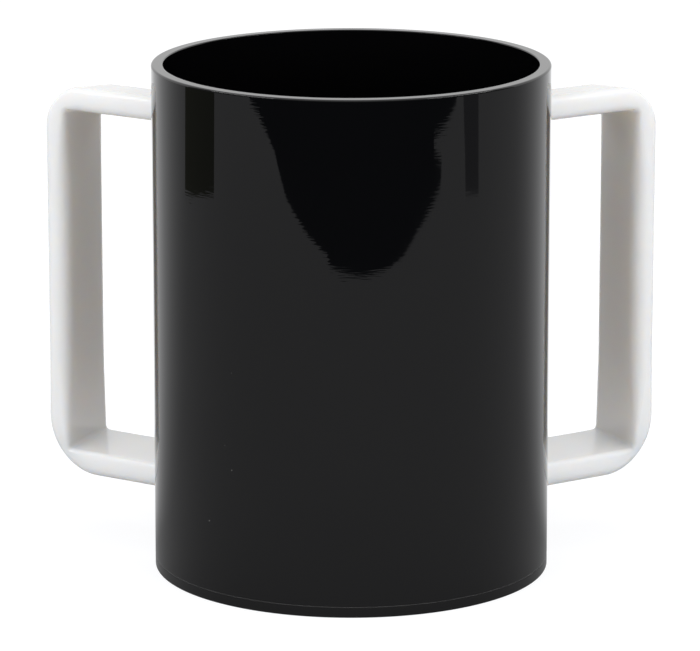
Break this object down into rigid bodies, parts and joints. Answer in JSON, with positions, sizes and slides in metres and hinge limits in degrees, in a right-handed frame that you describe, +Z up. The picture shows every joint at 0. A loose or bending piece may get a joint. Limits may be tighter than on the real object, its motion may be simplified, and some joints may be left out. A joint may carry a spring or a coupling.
{
  "type": "two-handled washing cup",
  "caption": "Straight-sided round cup of black acrylic tube on a cemented disc, with white C-shaped handles swung towards its back, for pouring water over the hands.",
  "frame": {"origin": "centre of the base disc's underside, where the cup's axis meets what it stands on", "axes": "+Z up along the cup's axis; X across the two handles; both handles are swung towards +Y, so the open front faces -Y"},
  "size_m": [0.1588, 0.1057, 0.1294],
  "materials": {
    "black_acrylic": "polished cast acrylic, deep black",
    "white_acrylic": "polished opal white cast acrylic",
    "clear_cement": "clear cured acrylic cement"
  },
  "bodies": {
    "root": {"cup_tube": "black_acrylic", "base_disc": "black_acrylic", "base_seam_cement": "clear_cement", "left_handle": "white_acrylic", "right_handle": "white_acrylic", "left_upper_foot_cement": "clear_cement", "left_lower_foot_cement": "clear_cement", "right_upper_foot_cement": "clear_cement", "right_lower_foot_cement": "clear_cement"}
  },
  "joints": []
}
